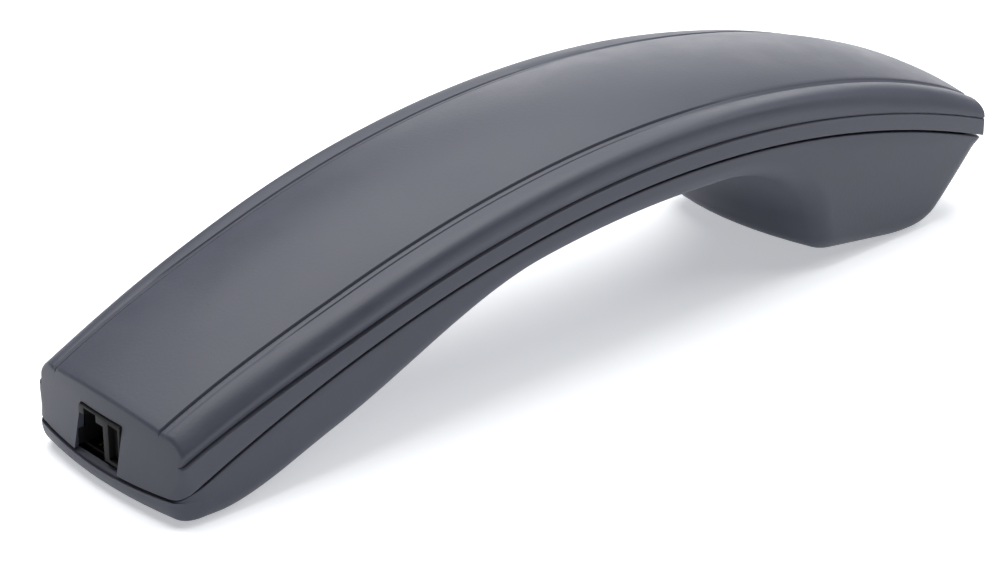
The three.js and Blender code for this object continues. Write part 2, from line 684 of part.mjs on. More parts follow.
addPart(handset, 'jack_housing', jackHousing(), 'black');
contactYs.forEach((y, i) => {
  const pin = [[jackBackX, pinZ], [bendX + 1.4, pinZ], [bendX + 0.3, pinZ + 0.1], [bendX, pinZ + 0.6]];
  const leg = [[bendX, pinZ + 1.05], [bendX + 0.15, pinZ + 1.4], [bendX + 0.9, pinZ + 1.8],
    [bendX + 3.2, pinZ + 2.6], [bendX + 6.4, pinZ + 3.7], [bendX + 7.4, pinZ + 3.8]];
  const route = (pairs) => pairs.map(([x, z]) => [x, y, z]);
  addPart(handset, `jack_pin_${i + 1}`, wire(route(pin), CONTACT_RADIUS, 10, 6), 'gold');
  addPart(handset, `jack_contact_${i + 1}`, wire(route(leg), CONTACT_RADIUS, 12, 6), 'gold');
});
const boardX = jackBackX + GAP;
addPart(handset, 'jack_board', box(boardX, boardX + 1.2, JACK_Y - 5.4, JACK_Y + 5.4, 3.4, 14.2), 'board');

// ---------------------------------------------------------------- lead wires

const leadStartX = boardX + 1.2 + 2 * GAP;
const [boardTopX, boardTopZ] = [
  receiverFrame.origin[0] + 18.2 * Math.sin(receiverFrame.turn),
  receiverFrame.origin[2] + 18.2 * Math.cos(receiverFrame.turn),
];
const micTopX = micFrame.origin[0] + 11.1 * Math.sin(micFrame.turn);
const micTopZ = micFrame.origin[2] + 11.1 * Math.cos(micFrame.turn);

['red', 'green'].forEach((color, i) => {
  const shift = 2.2 * i;
  const route = [
    [leadStartX, 5 + shift, 8.5],
    [leadStartX + 1.4, 5 + shift, 8.5],
    [leadStartX + 4, 7.2 + shift, 10],
    [-76, 9.5 + shift, 15.5],
    [-62, 11 + shift, 21.5],
    [-40, 11.5 + shift, 28.2],
    [-18, 11.5 + shift, 32],
    [8, 11.5 + shift, 33.8],
    [32, 11 + shift, 32.5],
    [52, 8 + shift, 28.5],
    [64, 3.5 + shift, 25],
    [boardTopX, 1 + shift, boardTopZ + 2],
    [boardTopX, 0.5 + shift, boardTopZ],
  ];
  addPart(handset, `receiver_lead_${i + 1}`, wire(route, LEAD_RADIUS, 48, 6), color);
});
['yellow', 'wireBlack'].forEach((color, i) => {
  const y = 0.6 - 2.4 * i;
  const route = [
    [leadStartX, y, 9],
    [leadStartX + 1.4, y, 9],
    [leadStartX + 3.5, y, 15],
    [micTopX - 1.5, y, micTopZ + 2.5],
    [micTopX, y, micTopZ],
  ];
  addPart(handset, `mic_lead_${i + 1}`, wire(route, LEAD_RADIUS, 14, 6), color);
});

export default handset;
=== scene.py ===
"""A corded telephone handset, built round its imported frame: satin grey shells, cord jack and fittings."""
import json
import math

import bmesh
import bpy
import numpy as np
from mathutils import Matrix, Vector


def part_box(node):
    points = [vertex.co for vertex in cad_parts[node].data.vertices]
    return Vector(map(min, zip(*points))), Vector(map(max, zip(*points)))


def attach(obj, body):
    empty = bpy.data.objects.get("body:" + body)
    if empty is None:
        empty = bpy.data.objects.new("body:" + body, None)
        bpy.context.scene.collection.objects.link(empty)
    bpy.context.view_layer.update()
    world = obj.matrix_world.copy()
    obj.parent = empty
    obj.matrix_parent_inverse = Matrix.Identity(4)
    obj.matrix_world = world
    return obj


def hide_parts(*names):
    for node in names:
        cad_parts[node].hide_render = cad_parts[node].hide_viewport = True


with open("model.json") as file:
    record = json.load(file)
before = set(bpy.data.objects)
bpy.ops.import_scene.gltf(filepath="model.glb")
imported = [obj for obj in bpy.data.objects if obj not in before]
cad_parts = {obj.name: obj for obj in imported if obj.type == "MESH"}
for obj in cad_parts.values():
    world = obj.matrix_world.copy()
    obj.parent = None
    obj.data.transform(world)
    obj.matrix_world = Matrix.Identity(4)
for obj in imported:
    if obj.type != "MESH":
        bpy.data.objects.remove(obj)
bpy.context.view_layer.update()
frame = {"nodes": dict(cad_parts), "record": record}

MM = 0.001

# ------------------------------------------------------------------ driving dimensions, in millimetres

# The parting surface is a parabola along the handle, and both shells stop just short of it.
CREST_X, CREST_Z, BOW = 11.4, 32.8, 0.002188
PARTING_GAP = 0.42
RIM_ROUND = 0.28

# The outline seen from above: its sides bow out and taper, and its ends bow out between rounded corners.
HALF_WIDTH, WIDEST_X = 23.6, -9.5
JACK_END_X, JACK_END_BOW, JACK_END_LEAN, JACK_TAPER = -100.6, 2.1, 0.13, 1.7
EAR_END_X, EAR_END_BOW, EAR_TAPER = 101.6, 1.5, 1.0
JACK_CORNER, EAR_CORNER = 2.6, 0.8
UPPER_CORNER = 0.9                             # the most that a corner is rounded by at the crease

# The back cover. A triple holds a value at the jack end, in the middle and at the ear end.
CREASE_HEIGHT = (5.7, 3.7, 3.75)
CREASE_DEPTH, CREASE_WIDTH = 0.3, 0.5          # depth past the shoulder's tucked foot
SHOULDER_TUCK = (0.75, 0.4, 0.0)               # how far the shoulder's foot tucks in
SHOULDER_POWER = (1.7, 4.6, 2.0)               # the shoulder's roundness: 2 is an ellipse, more is squarer
SHOULDER_TOP, PANEL_EDGE, PANEL_CROWN = 8.8, 9.15, 2.28
CHANNEL_INSET, CHANNEL_WIDTH = 5.0, 1.8        # the channel between shoulder and panel
CHANNEL_FLOOR = (0.16, 0.42)                   # its depth before and after the crest
INNER_LINE, OUTER_LINE = 0.55, 0.30            # depths of the fine lines by the panel and by the shoulder
EDGE_ROUND = 0.55                              # rounding of the top edge of each end
JACK_EDGE_LIFT = 0.9                           # how much higher the panel's edges stand at the jack end
EAR_FALL_X, EAR_FALL = 62, 0.00019             # where the cover starts to thin, and how fast
EAR_ROLL, EAR_ROLL_REACH, EAR_ROLL_FOOT = 0.9, 9, 3.8
BACK_WALL, END_WALL, CAVITY_PLAY = 1.8, 2.1, 0.45
CAP_CENTRE, CAP_INSET = 5.2, 0.9               # how the end faces are filled

# The front shell, from its nose past the handle and the scoop to the earpiece cup.
FRONT_WALL = 2.4
EDGE_RADIUS, NOSE_FLARE, NOSE_CORNER = 3.4, 0.4, 5
REST_X, LIFT_X, MOUTH_X = -92.4, -87, -80.0    # where the nose leaves the table and where the handle starts
MOUTH_DEPTH, HANDLE_DEPTH = 10.9, 5.4
CUP_FRONT_X, CUP_FRONT_BOW, SCOOP_LENGTH, SCOOP_FOOT_Z = 52.3, 5.5, 28, 10
CUP_FOOT_Z, CUP_CORNER = 7.6, 5
EAR_SLOPE, EAR_LEVEL_X, EAR_EASE = 0.157, 77.5, 3.5
FAR_SLOPE, FAR_BULGE = 0.95, 0.9

# Openings: the sound holes are (circle radius, count) rings.
EAR_HOLES_X, EAR_HOLE_RINGS, EAR_HOLE_RADIUS = 67.0, [(0, 1), (4, 6), (8, 12)], 0.95
MIC_HOLES_X, MIC_HOLE_RINGS, MIC_HOLE_RADIUS = -78.0, [(0, 1), (2.4, 4)], 0.65
HOLE_DEPTH, HOLE_CHAMFER, HOLE_LEAD = 3.4, 0.2, 0.3
SCREW_PLACES, SEAT_DEPTH = (-52.0, 14.0), 3.2
BOSS_RADIUS, COLUMN_RADIUS, BORE_RADIUS, SHANK_RADIUS = 3.4, 4.2, 2.8, 1.4
JACK_OPENING, OPENING_ROUND = [(8.3, -1), (6.3, 14.3), (-6.2, 14.3), (-4.7, -1)], 0.5
JACK_PLAY = 0.3

# The jack, four ways at a standard pitch. Its nose fills the opening in the back cover.
JACK_NOSE, NOSE_ROUND, NOSE_REACH = [(7.3, 5.6), (6.2, 14.05), (-6.0, 14.05), (-5.2, 5.6)], 0.4, 1.6
SOCKET_HALF_WIDTH, SOCKET_LOW, SOCKET_HIGH = 3.9, 5.4, 12.2
LATCH_HALF_WIDTH, LATCH_TOP, LATCH_LENGTH = 1.8, 13.6, 7
CONTACT_PITCH, GROOVE_HALF_WIDTH = 1.27, 0.46
SIDE_WEB, SIDE_RECESS_Y, SIDE_RECESS_LOW, SIDE_RECESS_HIGH = 1.5, -5.3, 6.3, 13.3
CONTACT_RECESS_HALF_WIDTH, CONTACT_RECESS_LOW, CONTACT_RECESS_LENGTH = 2.6, 4.5, 9.8

CAMERA_AZIMUTH, CAMERA_ELEVATION, CAMERA_DISTANCE = -41.29, 26.34, 601.0
CAMERA_TARGET, CAMERA_LENS, SENSOR_WIDTH = (-10.45, 0.0, 7.8), 114.3, 36
FLOOR_REACH, FLOOR_Z = 4000, -0.02

# Name, azimuth and elevation in degrees, then distance and size in metres and power in watts.
LIGHTS = [
    ("overhead", 152, 70, 1.5, 1.8, 40.0),
    ("behind", 132, 5, 2.4, 1.6, 16.0),
    ("side_fill", 62, 42, 2.0, 1.2, 11.0),
]


def smoothstep(x, low, high):
    t = np.clip((np.asarray(x, float) - low) / (high - low), 0, 1)
    return t * t * (3 - 2 * t)


def lerp(a, b, t):
    return a + (b - a) * t


def parting_z(x):
    return CREST_Z - BOW * (x - CREST_X) ** 2


def parting_slope(x):
    return -2 * BOW * (x - CREST_X)


def above_parting(x, height):
    """The point (x, z) that lies height above the parting surface, square to it, from station x."""
    slope = parting_slope(x)
    length = np.hypot(1, slope)
    return x - height * slope / length, parting_z(x) + height / length


def half_width(x):
    """Half the handset's width: widest near the middle, tapering with the square of the distance."""
    jack_side = x < WIDEST_X
    reach = np.where(jack_side, WIDEST_X - JACK_END_X, EAR_END_X - WIDEST_X)
    taper = np.where(jack_side, JACK_TAPER, EAR_TAPER)
    return HALF_WIDTH - taper * ((x - WIDEST_X) / reach) ** 2


def jack_end(share):
    """X of the jack end's outline at a share of the half width."""
    return JACK_END_X - JACK_END_BOW * (1 - share ** 2)


def ear_end(share):
    """X of the ear end's outline at a share of the half width."""
    return EAR_END_X + EAR_END_BOW * (1 - share ** 2)


# ------------------------------------------------------------------ mesh helpers

def new_object(name, points, faces):
    """A mesh object from points in millimetres."""
    mesh = bpy.data.meshes.new(name)
    mesh.from_pydata((np.asarray(points, float) * MM).tolist(), [], faces)
    piece = bpy.data.objects.new(name, mesh)
    bpy.context.scene.collection.objects.link(piece)
    return piece


def tidy(piece, distance=0.004):
    """Welds doubled points, drops faces that have closed up and turns the faces outward."""
    work = bmesh.new()
    work.from_mesh(piece.data)
    bmesh.ops.remove_doubles(work, verts=work.verts, dist=distance * MM)
    bmesh.ops.dissolve_degenerate(work, edges=work.edges, dist=0.0005 * MM)
    bmesh.ops.recalc_face_normals(work, faces=work.faces)
    work.to_mesh(piece.data)
    work.free()
    return piece


def smooth(piece, angle=28):
    """Smooth shading, with edges sharper than the angle kept crisp."""
    piece.data.polygons.foreach_set("use_smooth", [True] * len(piece.data.polygons))
    piece.data.set_sharp_from_angle(angle=math.radians(angle))
    return piece


def apply_modifiers(piece):
    """Replaces the piece's mesh by what its modifiers make of it."""
    graph = bpy.context.evaluated_depsgraph_get()
    mesh = bpy.data.meshes.new_from_object(piece.evaluated_get(graph))
    piece.modifiers.clear()
    piece.data = mesh
    return piece


def boolean(piece, tool, operation="DIFFERENCE"):
    """Cuts the tool from the piece, or joins it on, and removes the tool."""
    modifier = piece.modifiers.new("tool", "BOOLEAN")
    modifier.operation = operation
    modifier.solver = "EXACT"
    modifier.object = tool
    apply_modifiers(piece)
    bpy.data.objects.remove(tool)
    return piece


def ring_faces(rows, columns):
    """Quads between each closed ring of points and the next."""
    faces = []
    for i in range(rows - 1):
        for k in range(columns):
            a = i * columns + k
            b = i * columns + (k + 1) % columns
            faces.append((a, b, b + columns, a + columns))
    return faces


def turned(name, pairs, sides=32, centre=(0, 0, 0)):
    """A closed body turned about Z from (radius, height) pairs that start and end on the axis."""
    points, faces, rows = [], [], []
    for radius, height in pairs:
        if radius == 0:
            rows.append([len(points)])
            points.append((0, 0, height))
            continue
        rows.append(list(range(len(points), len(points) + sides)))
        for k in range(sides):
            angle = 2 * math.pi * k / sides
            points.append((radius * math.cos(angle), radius * math.sin(angle), height))
    for low, high in zip(rows, rows[1:]):
        for k in range(sides):
            a, b = low[k % len(low)], low[(k + 1) % len(low)]
            c, d = high[(k + 1) % len(high)], high[k % len(high)]
            faces.append([v for n, v in enumerate((a, b, c, d)) if v not in (a, b, c, d)[:n]])
    return tidy(new_object(name, np.array(points, float) + np.array(centre, float), faces))


# ------------------------------------------------------------------ back cover

def three_way(values, x, jack_reach, ear_reach):
    """Blends a triple along the handle, each end's value giving way to the middle one over its reach of X."""
    jack, middle, ear = values
    return lerp(lerp(jack, middle, smoothstep(x, *jack_reach)), ear, smoothstep(x, *ear_reach))


def crease_height(x):
    return three_way(CREASE_HEIGHT, x, (-112, -58), (40, 100))


def shoulder_tuck(x):
    return three_way(SHOULDER_TUCK, x, (-100, -10), (20, 80))


def shoulder_power(x):
    return three_way(SHOULDER_POWER, x, (-100, -35), (20, 80))


def edge_lift(x):
    """How far the panel's edges are raised, which flattens the panel towards the jack end."""
    return float(JACK_EDGE_LIFT * (1 - smoothstep(x, -98, -60)))


def ear_fall(x):
    """The share by which the cover thins above the crease, towards the ear end."""
    return EAR_FALL * max(0.0, x - EAR_FALL_X) ** 2


def notch(distance, width):
    """A V groove with eased lips: 1 at its middle, 0 outside it."""
    return np.clip(1 - np.abs(distance) / (width / 2), 0, 1) ** 1.3


def channel_depth(x, t):
    """Depth at share t across the channel: a shallow floor, with a fine line near each edge."""
    floor = float(lerp(*CHANNEL_FLOOR, smoothstep(x, 0, 60)))
    inner = float(1 - 0.72 * smoothstep(x, 5, 45))
    outer = float(smoothstep(x, -88, -62) * (1 - smoothstep(x, -8, 22)))
    depth = floor * math.sin(math.pi * min(1, t * 1.15)) ** 0.8
    depth += OUTER_LINE * outer * float(notch(t * CHANNEL_WIDTH - 0.26, 0.5))
    depth += INNER_LINE * inner * float(notch((1 - t) * CHANNEL_WIDTH - 0.30, 0.6))
    return depth


def band_section(w, crease, tucked, grooved, corner):
    """The foot, the rounded rim and the upright side band, up to the top lip of the crease."""
    foot = PARTING_GAP / 2
    section = [(w * k / 12, foot, corner(0), 0) for k in range(12)]
    for degrees in (0, 22.5, 45, 67.5, 90):
        angle = math.radians(degrees)
        lip = RIM_ROUND * (1 - math.sin(angle))
        section.append((w - lip, foot + RIM_ROUND * (1 - math.cos(angle)), corner(0), 0))
    for part in (0.25, 0.5, 0.75):
        height = lerp(foot + RIM_ROUND, crease - CREASE_WIDTH / 2, part)
        section.append((w, height, corner(height), 0))
    deep = tucked + CREASE_DEPTH
    # Each pair is an inset and a place across the crease, from -0.5 to 0.5.
    groove = ((0.03, -0.5), (0.14, -0.38), (deep, -0.08), (deep, 0.08), (tucked + 0.08, 0.36))
    for inset, share in groove:
        section.append((w - inset * grooved, crease + CREASE_WIDTH * share, corner(crease), 0))
    return section


def shoulder_section(x, w, crease, tucked, grooved, corner, steps=20):
    """A quarter of a superellipse from the crease up to the channel, with its foot tucked in."""
    power = float(shoulder_power(x))
    top = SHOULDER_TOP + edge_lift(x)
    low = crease + CREASE_WIDTH / 2
    section = []
    for k in range(steps + 1):
        part = k / steps
        angle = math.radians(90 * k / steps)
        run = math.cos(angle) ** (2 / power)
        rise = math.sin(angle) ** (2 / power)
        y = w - CHANNEL_INSET + CHANNEL_INSET * run
        tuck = tucked * (1 - smoothstep(rise, 0, 0.45))
        radius = lerp(corner(crease), EDGE_ROUND, part)
        section.append((y - float(tuck) * grooved, low + (top - low) * rise, radius, 90 * part))
    return section


def panel_section(x, w, grooved, channel_steps=14, steps=22):
    """The channel and the crowned panel, up to the middle."""
    lift = edge_lift(x)
    section = []
    for k in range(1, channel_steps + 1):
        t = k / channel_steps
        height = lift + lerp(SHOULDER_TOP, PANEL_EDGE, t) - channel_depth(x, t) * grooved
        section.append((w - CHANNEL_INSET - CHANNEL_WIDTH * t, height, EDGE_ROUND, 90))
    inner = w - CHANNEL_INSET - CHANNEL_WIDTH
    for k in range(1, steps + 1):
        share = 1 - k / steps
        crown = (PANEL_CROWN - lift) * (1 - share ** 2)
        section.append((inner * share, PANEL_EDGE + lift + crown, EDGE_ROUND, 90))
    return section


def back_section(x, w, grooved=1.0):
    """Half of the cover's section from its foot up to the crown: y, height, end radius and facing angle."""
    crease = float(crease_height(x))
    tucked = float(shoulder_tuck(x))
    widest = JACK_CORNER if x < 0 else EAR_CORNER

    def corner(height):
        return float(lerp(widest, min(widest, UPPER_CORNER), smoothstep(height, 1.0, crease)))

    section = band_section(w, crease, tucked, grooved, corner)
    section += shoulder_section(x, w, crease, tucked, grooved, corner)
    section += panel_section(x, w, grooved)
    rows = np.array(section)
    rows[:, 1] -= np.maximum(rows[:, 1] - crease, 0) * ear_fall(x)
    return rows


def back_surface():
    """Rings of the cover's half section along the handle, with a rounded edge at each end."""
    bends = [math.radians(a) for a in (0, 18, 36, 54, 72)]
    plan = [("jack", bend) for bend in bends]
    plan += [("middle", t) for t in np.linspace(0, 1, 132)]
    plan += [("ear", bend) for bend in reversed(bends)]
    rings = []
    for kind, value in plan:
        along = {"jack": 0.0, "middle": value, "ear": 1.0}[kind]
        station = lerp(JACK_END_X, EAR_END_X, along)
        w = float(half_width(station))
        y, h, radius, facing = back_section(station, w).T
        facing = np.radians(facing)
        bend = math.pi / 2 if kind == "middle" else value
        inset = radius * (1 - math.sin(bend))
        y = y * (1 - np.cos(facing) * inset / w)
        share = np.clip(y / w, 0, 1)
        start = jack_end(share) + JACK_END_LEAN * h + radius * (1 - math.cos(bend))
        finish = ear_end(share) - radius * (1 - math.cos(bend))
        x = lerp(start, finish, along)
        rings.append(np.stack([x, y, h - np.sin(facing) * inset], 1))
    return rings


def rolled(x, height):
    """The ear end dips a little over its last stretch."""
    edge = smoothstep(x, EAR_END_X - EAR_ROLL_REACH, EAR_END_X + EAR_ROLL_REACH)
    return height - EAR_ROLL * edge * smoothstep(height, EAR_ROLL_FOOT, SHOULDER_TOP)


def to_space(x, y, height):
    """The point at x whose height is measured square to the parting surface."""
    station = np.array(x, float)
    for _ in range(8):
        top_x, top_z = above_parting(station, height)
        station = station + (x - top_x)
    return np.stack([top_x, y, top_z], -1)


def end_outline(station):
    """The outline of an end face without its grooves, set in by the end rounding and a little more."""
    w = float(half_width(station))
    y, h, radius, facing = back_section(station, w, grooved=0).T
    facing, inset = np.radians(facing), radius + CAP_INSET
    h = np.maximum(h, PARTING_GAP / 2 + 0.4)
    return np.stack([0 * y, y * (1 - np.cos(facing) * inset / w), h - np.sin(facing) * inset], 1)


def both_sides(half):
    """A half section from the middle of the foot to the crown, and its mirror image back to the foot."""
    return np.concatenate([half, half[1:-1][::-1] * np.array([1, -1, 1])])


def back_outer():
    """The cover's closed outer body, its two end faces filled by shrinking copies of their outlines."""
    rings = [both_sides(ring) for ring in back_surface()]
    columns = len(rings[0])
    points = [to_space(r[:, 0], r[:, 1], rolled(r[:, 0], r[:, 2])) for r in rings]
    faces = ring_faces(len(rings), columns)
    count = len(rings) * columns
    for base in (0, (len(rings) - 1) * columns):
        previous = base
        jack = base == 0
        station = JACK_END_X if jack else EAR_END_X
        w = float(half_width(station))
        outline = both_sides(end_outline(station))
        for scale in (1, 0.8, 0.6, 0.4, 0.2):
            y = outline[:, 1] * scale
            h = CAP_CENTRE + (outline[:, 2] - CAP_CENTRE) * scale
            share = np.clip(np.abs(y) / w, 0, 1)
            x = jack_end(share) + JACK_END_LEAN * h if jack else ear_end(share)
            points.append(to_space(x, y, rolled(x, h)))
            for k in range(columns):
                n = (k + 1) % columns
                faces.append((previous + k, previous + n, count + n, count + k))
            previous = count
            count += columns
        faces.append(tuple(range(previous, previous + columns)))
    return tidy(new_object("back_cover", np.concatenate(points), faces), 0.002)


def back_cavity():
    """The hollow of the back cover, one wall thinner all round and open below."""
    lift = BACK_WALL + CAVITY_PLAY
    rings = []
    for t in np.linspace(0, 1, 40):
        guess = lerp(JACK_END_X, EAR_END_X, t)
        w = float(half_width(guess)) - BACK_WALL
        fall = ear_fall(guess)
        section = [(w, -1.5), (w, 3.0), (w - 0.6, 4.8)]
        section += [(w - 2.0, SHOULDER_TOP - lift - 0.4), (w - 4.4, SHOULDER_TOP - lift + 0.1)]
        for k in range(1, 7):
            share = 1 - k / 6
            section.append(((w - 4.9) * share, PANEL_EDGE - lift + PANEL_CROWN * (1 - share ** 2)))
        ring = []
        for y, h in section:
            share = min(1, y / w)
            start = jack_end(share) + JACK_END_LEAN * max(h, 0) + END_WALL
            x = lerp(start, ear_end(share) - END_WALL, t)
            ring.append((x, y, h if h < 3.2 else 3.2 + (h - 3.2) * (1 - 1.25 * fall)))
        ring = np.array(ring)
        right = to_space(ring[:, 0], ring[:, 1], rolled(ring[:, 0], ring[:, 2]))
        left = right[:-1][::-1] * np.array([1, -1, 1])
        rings.append(np.concatenate([right, left]))
    columns = len(rings[0])
    faces = ring_faces(len(rings), columns)
    faces.append(tuple(range(columns)))
    faces.append(tuple(range((len(rings) - 1) * columns, len(rings) * columns)))
    return tidy(new_object("back_hollow", np.concatenate(rings), faces))


# ------------------------------------------------------------------ front shell

def front_depth(x):
    """How far the underside lies below the parting surface: deep at the mouth, shallow at the handle."""
    return lerp(MOUTH_DEPTH, HANDLE_DEPTH, smoothstep(x, -70, -20))


def ear_face_z(x):
    """Height of the cup's sloping face, which meets the table at EAR_LEVEL_X."""
    return EAR_SLOPE * (EAR_LEVEL_X - x)


def quadratic(a, b, c, steps):
    """Points on a curve from a to c that is pulled towards b."""
    t = np.linspace(0, 1, steps + 1)[:, None]
    a, b, c = (np.array(p, float) for p in (a, b, c))
    return (1 - t) ** 2 * a + 2 * t * (1 - t) * b + t ** 2 * c


def straight(a, b, steps):
    t = np.linspace(0, 1, steps + 1)[:, None]
    return np.array(a, float) * (1 - t) + np.array(b, float) * t


def plan_corner(side):
    """How far the jack end steps back at a distance in from the side, for its rounded corner in plan."""
    run = max(0.0, JACK_CORNER - side)
    return JACK_CORNER - math.sqrt(JACK_CORNER ** 2 - run ** 2)


def nose_and_handle(nose, scoop_x, count):
    """From the parting surface down the nose, along the table and up under the handle to the scoop."""
    nose_z = parting_z(nose)
    corner_x = nose - NOSE_FLARE
    corner = (corner_x, min(nose_z - 0.3, NOSE_CORNER))
    table = (corner_x + NOSE_CORNER, 0)
    mouth = above_parting(MOUTH_X, -MOUTH_DEPTH)
    along = np.linspace(MOUTH_X, scoop_x, count(56) + 1)
    return [
        straight((nose, nose_z), corner, count(3)),
        quadratic(corner, (corner_x, 0), table, count(14)),
        straight(table, (REST_X, 0), count(3)),
        quadratic((REST_X, 0), (LIFT_X, 0), mouth, count(12)),
        np.stack(above_parting(along, -front_depth(along)), 1),
    ]


def scoop_and_cup(top, cup, count):
    """From the handle round the scoop, down the front of the cup and along its face to the table."""
    angle = np.linspace(math.pi / 2, 0, count(26) + 1)
    arc_x = top[0] + (cup - top[0]) * np.cos(angle)
    arc_z = SCOOP_FOOT_Z + (top[1] - SCOOP_FOOT_Z) * np.sin(angle)
    scoop = np.stack([arc_x, arc_z], 1)
    foot = (cup + 0.5, CUP_FOOT_Z)
    heel = (cup + 1, ear_face_z(cup + 1))
    end = (heel[0] + CUP_CORNER, ear_face_z(heel[0] + CUP_CORNER))
    ease = (EAR_LEVEL_X - EAR_EASE, ear_face_z(EAR_LEVEL_X - EAR_EASE))
    return [
        scoop,
        straight(scoop[-1], foot, count(2)),
        quadratic(foot, heel, end, count(14)),
        straight(end, ease, count(7)),
        quadratic(ease, (EAR_LEVEL_X, 0), (EAR_LEVEL_X + EAR_EASE, 0), count(5)),
    ]


def far_side(far, count):
    """From the table up the far side, which bulges a little, to the parting surface."""
    level = EAR_LEVEL_X + EAR_EASE
    far_z = parting_z(far)
    meet = far - far_z / FAR_SLOPE
    turn_x = meet + 0.6 * (meet - level)
    turn_z = FAR_SLOPE * (turn_x - meet)
    turn = (turn_x + FAR_BULGE / 2, turn_z)
    bulge = ((turn_x + far) / 2 + FAR_BULGE, (turn_z + far_z) / 2)
    return [
        quadratic((level, 0), (meet + FAR_BULGE / 2, 0), turn, count(14)),
        quadratic(turn, bulge, (far, far_z), count(10)),
    ]


def underside(share, fine=1.0):
    """The underside in side view at a share of the half width, and its inward normals."""
    def count(steps):
        return max(1, round(steps * fine))

    nose = jack_end(share) + plan_corner(HALF_WIDTH * (1 - share))
    cup = CUP_FRONT_X - CUP_FRONT_BOW * (1 - share ** 2)
    parts = nose_and_handle(nose, cup - SCOOP_LENGTH, count)
    parts += scoop_and_cup(parts[-1][-1], cup, count)
    parts += far_side(ear_end(share), count)
    line = np.concatenate([parts[0]] + [p[1:] for p in parts[1:]])
    tangent = np.gradient(line, axis=0)
    for _ in range(max(1, round(3 * fine))):
        tangent[1:-1] = (tangent[:-2] + 2 * tangent[1:-1] + tangent[2:]) / 4
    tangent /= np.linalg.norm(tangent, axis=1)[:, None]
    return line, np.stack([-tangent[:, 1], tangent[:, 0]], 1)


def rising(values, step=0.01):
    """The same values, moved so that each is at least a step past the one before it, with the ends kept."""
    spread = values.copy()
    for i in range(1, len(spread)):
        spread[i] = max(spread[i], spread[i - 1] + step)
    spread[-1] = values[-1]
    for i in range(len(spread) - 2, -1, -1):
        spread[i] = min(spread[i], spread[i + 1] - step)
    spread[0] = values[0]
    return spread


def front_row(place, inset, top, fine, lip):
    """One side profile: the underside moved in by inset, ending at the parting surface, and its top line."""
    share = abs(place(HALF_WIDTH)) / HALF_WIDTH
    line, inward = underside(share, fine)
    line = line + inset * inward
    line[0, 1] = parting_z(line[0, 0]) + top
    line[-1, 1] = parting_z(line[-1, 0]) + top
    if lip:
        arc = np.radians([90, 60, 30, 0])
        run, drop = lip * (1 - np.cos(arc)), lip * (1 - np.sin(arc))
        near_x, far_x = line[0, 0] + run, line[-1, 0] - run[::-1]
        near = np.stack([near_x, parting_z(near_x) + top - drop], 1)
        away = np.stack([far_x, parting_z(far_x) + top - drop[::-1]], 1)
        line = np.concatenate([near, line[2:-2], away])
    top_x = rising(line[:, 0])
    under = np.stack([line[:, 0], [place(w) for w in half_width(line[:, 0])], line[:, 1]], 1)
    above = np.stack([top_x, [place(w) for w in half_width(top_x)], parting_z(top_x) + top], 1)
    return under, above


def front_body(name, skin=0.0, top=-PARTING_GAP / 2, angles=(90, 78, 66, 54, 42, 30, 20, 10),
               shares=(1, 0.8, 0.6, 0.4, 0.2, 0), fine=1.0, wall_steps=6, lip=RIM_ROUND):
    """The front shell's solid body, moved in by skin: side profiles laid from one side to the other."""
    radius = EDGE_RADIUS - skin
    half = []
    for degrees in angles:
        angle = math.radians(degrees)
        reach = radius * math.sin(angle)
        rise = skin + radius * (1 - math.cos(angle))
        half.append((lambda w, reach=reach: w - EDGE_RADIUS + reach, rise))
    for part in shares:
        half.append((lambda w, part=part: part * (w - EDGE_RADIUS), skin))
    rows = [(lambda w, place=place: -place(w), inset) for place, inset in half]
    rows += half[:-1][::-1]
    made = [front_row(place, inset, top, fine, lip) for place, inset in rows]
    unders = [m[0] for m in made]
    aboves = [m[1] for m in made]
    length = len(unders[0])
    loops = []
    for i in range(length):
        loop = [u[i] for u in unders]
        loop += wall(unders[-1][i], aboves[-1][i], wall_steps, lip)
        tops = [a[i] for a in aboves][::-1]
        if lip and 0 < i < length - 1:
            tops = pull_in(tops, min(lip, 0.5 * (tops[0][2] - unders[-1][i][2])))
        loop += tops
        loop += wall(unders[0][i], aboves[0][i], wall_steps, lip)[::-1]
        loops.append(loop)
    columns = len(loops[0])
    faces = ring_faces(length, columns)
    return tidy(new_object(name, np.concatenate([np.array(loop) for loop in loops]), faces), 0.002)


def wall(low, high, steps, lip):
    """Points up a side wall from the edge rounding to the rim, with the rim's own rounding."""
    low, high = np.array(low), np.array(high)
    height = high[2] - low[2]
    if height < 1e-6:
        return [low.copy() for _ in range(steps + (3 if lip else 0))]
    reach = min(lip, 0.5 * height) if lip else 0
    straight_top = high - np.array([0, 0, reach])
    points = [lerp(low, straight_top, k / steps) for k in range(1, steps + 1)]
    if lip:
        side = math.copysign(1, high[1])
        for degrees in (30, 60, 85):
            angle = math.radians(degrees)
            step = (0, -side * reach * (1 - math.cos(angle)), reach * math.sin(angle))
            points.append(straight_top + np.array(step))
    return points


def pull_in(tops, lip):
    """Keeps the top points inside the rim's rounding."""
    limit = abs(tops[0][1]) - lip
    count = len(tops)
    kept = []
    for k, (x, y, z) in enumerate(tops):
        reach = limit - 0.012 * min(k, count - 1 - k)
        kept.append(np.array([x, float(np.clip(y, -reach, reach)), z]))
    return kept


# ------------------------------------------------------------------ openings cut in the shells

def stack_frame(x, z, slope):
    """Where a stack of parts starts on a wall, and how far it is turned about Y."""
    return (x, 0.0, z), math.atan(slope)


def mic_stack():
    """The microphone's stack, square to the wall below the mouth."""
    x, z = above_parting(MIC_HOLES_X, -float(front_depth(MIC_HOLES_X)))
    return stack_frame(x, z, -parting_slope(MIC_HOLES_X))


